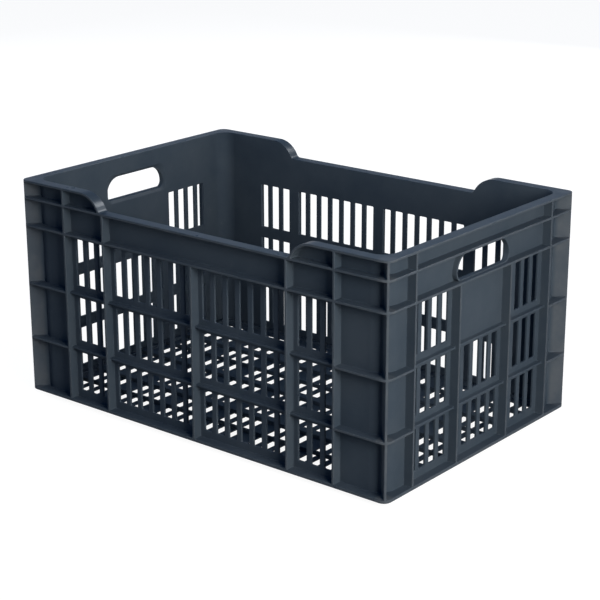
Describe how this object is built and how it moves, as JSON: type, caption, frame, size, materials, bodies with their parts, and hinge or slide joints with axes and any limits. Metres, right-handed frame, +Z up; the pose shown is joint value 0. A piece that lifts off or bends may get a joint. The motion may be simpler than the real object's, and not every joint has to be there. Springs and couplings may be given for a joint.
{
  "type": "ventilated plastic crate",
  "caption": "Stacking harvest crate with slotted walls, open grid floor, outside ribs, a hand hole in each end and long rims that dip between ramps.",
  "frame": {"origin": "middle of the footprint, on the ground under the stacking foot", "axes": "+X along the crate towards the right end, +Y towards the back wall, +Z up"},
  "size_m": [0.6, 0.4, 0.3],
  "materials": {
    "crate_plastic": "satin moulded HDPE, dark blue-grey"
  },
  "bodies": {
    "root": {"back_cross_ribs": "crate_plastic", "back_rim": "crate_plastic", "back_slotted_panel": "crate_plastic", "back_upper_panel": "crate_plastic", "back_upright_ribs": "crate_plastic", "base_frame": "crate_plastic", "corner_post_back_left": "crate_plastic", "corner_post_back_right": "crate_plastic", "corner_post_front_left": "crate_plastic", "corner_post_front_right": "crate_plastic", "floor_ribs": "crate_plastic", "floor_slats": "crate_plastic", "front_cross_ribs": "crate_plastic", "front_rim": "crate_plastic", "front_slotted_panel": "crate_plastic", "front_upper_panel": "crate_plastic", "front_upright_ribs": "crate_plastic", "left_cross_ribs": "crate_plastic", "left_hand_hole_collar": "crate_plastic", "left_handle_panel": "crate_plastic", "left_rim": "crate_plastic", "left_slotted_panel": "crate_plastic", "left_upright_ribs": "crate_plastic", "right_cross_ribs": "crate_plastic", "right_hand_hole_collar": "crate_plastic", "right_handle_panel": "crate_plastic", "right_rim": "crate_plastic", "right_slotted_panel": "crate_plastic", "right_upright_ribs": "crate_plastic"}
  },
  "joints": []
}
